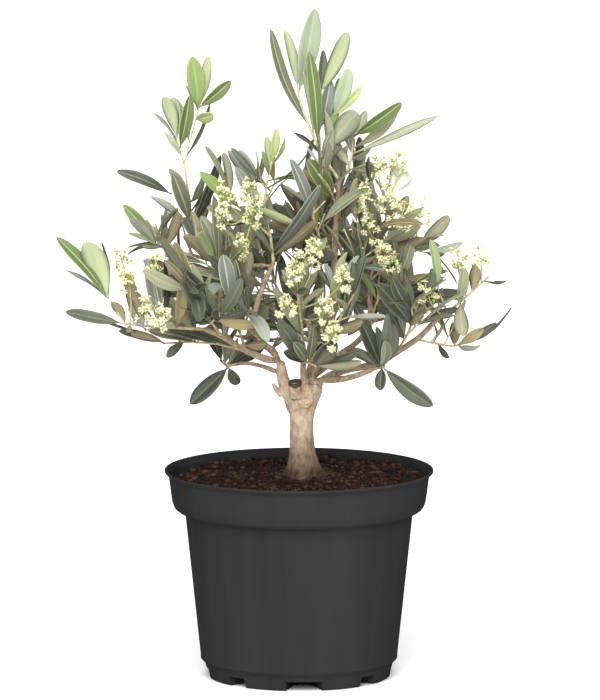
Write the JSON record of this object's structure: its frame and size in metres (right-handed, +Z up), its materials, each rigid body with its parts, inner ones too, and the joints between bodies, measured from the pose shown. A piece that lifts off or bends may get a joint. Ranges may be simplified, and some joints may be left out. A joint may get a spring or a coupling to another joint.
{
  "type": "potted olive tree",
  "caption": "Young olive tree in flower: a short forked trunk and an open crown of narrow leaves, standing in a tapered round nursery pot filled with soil.",
  "frame": {"origin": "centre of the pot's flat underside, where it stands", "axes": "+Z up along the pot's axis, -Y towards the front view of the crown, +X to the right in that view"},
  "size_m": [0.319, 0.2371, 0.4742],
  "materials": {
    "bark": "rough",
    "bough_bark": "rough",
    "olive_foliage": "satin",
    "pot_plastic": "matte",
    "potting_soil": "rough"
  },
  "bodies": {
    "root": {"back_bough": "bough_bark", "back_high": "olive_foliage", "back_left": "olive_foliage", "back_left_bough": "bough_bark", "back_low": "olive_foliage", "back_middle": "olive_foliage", "back_right": "olive_foliage", "bloom_top": "olive_foliage", "centre_back": "olive_foliage", "centre_bough": "bough_bark", "centre_high": "olive_foliage", "centre_right": "olive_foliage", "crest": "olive_foliage", "crest_bough": "bough_bark", "fork_leaves": "olive_foliage", "front_left": "olive_foliage", "front_middle": "olive_foliage", "front_right": "olive_foliage", "inner_right_bough": "bough_bark", "left_back": "olive_foliage", "left_droop": "olive_foliage", "left_front": "olive_foliage", "left_inner": "olive_foliage", "left_leader": "bough_bark", "left_low": "olive_foliage", "left_tip": "olive_foliage", "left_top": "olive_foliage", "low_left_bough": "bough_bark", "low_right_bough": "bough_bark", "pot": "pot_plastic", "right_back": "olive_foliage", "right_bough": "bough_bark", "right_front": "olive_foliage", "right_high": "olive_foliage", "right_inner": "olive_foliage", "right_leader": "bough_bark", "right_low": "olive_foliage", "right_node": "olive_foliage", "right_tip": "olive_foliage", "soil": "potting_soil", "top_right": "olive_foliage", "top_shoot": "olive_foliage", "trunk": "bark", "upper_middle": "olive_foliage", "wing": "olive_foliage"}
  },
  "joints": []
}
